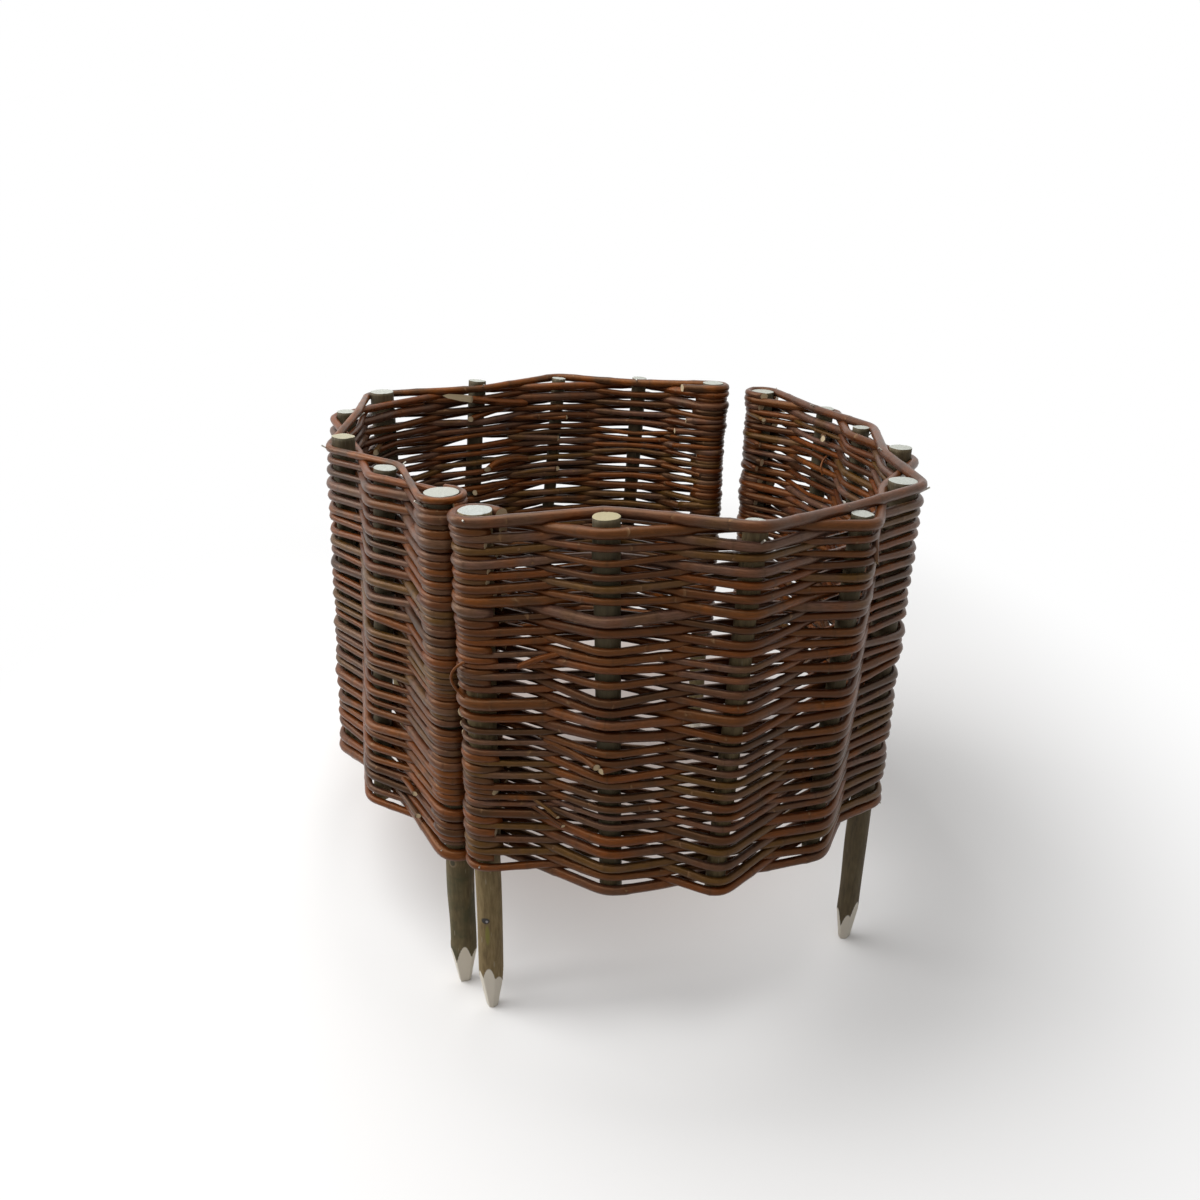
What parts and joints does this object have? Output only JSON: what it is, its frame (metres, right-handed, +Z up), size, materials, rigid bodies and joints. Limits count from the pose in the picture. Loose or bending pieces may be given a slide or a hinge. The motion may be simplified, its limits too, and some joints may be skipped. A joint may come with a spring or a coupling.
{
  "type": "woven edging ring",
  "caption": "Round wattle edging in two half rings: hazel stakes with willow rods woven between them, long stakes pointed to push into soil.",
  "frame": {"origin": "middle of the ring's footprint, on the floor under the stake tips", "axes": "+Z up, +X towards the right half, +Y from the front seam to the back seam"},
  "size_m": [0.6622, 0.6284, 0.5043],
  "materials": {
    "willow_rods": "dark red-brown bark with a soft gloss",
    "hazel_stakes": "olive-grey bark, pale sawn tops and knife-cut points",
    "wire_pins": "dull bright wire"
  },
  "bodies": {
    "root": {"left_weave": "willow_rods", "left_stake_1": "hazel_stakes", "left_stake_2": "hazel_stakes", "left_stake_3": "hazel_stakes", "left_stake_4": "hazel_stakes", "left_stake_5": "hazel_stakes", "left_stake_6": "hazel_stakes", "left_stake_7": "hazel_stakes", "left_stake_8": "hazel_stakes", "left_stake_9": "hazel_stakes", "left_top_pins": "wire_pins", "left_bottom_pins": "wire_pins", "right_weave": "willow_rods", "right_stake_1": "hazel_stakes", "right_stake_2": "hazel_stakes", "right_stake_3": "hazel_stakes", "right_stake_4": "hazel_stakes", "right_stake_5": "hazel_stakes", "right_stake_6": "hazel_stakes", "right_stake_7": "hazel_stakes", "right_stake_8": "hazel_stakes", "right_stake_9": "hazel_stakes", "right_top_pins": "wire_pins", "right_bottom_pins": "wire_pins"}
  },
  "joints": []
}
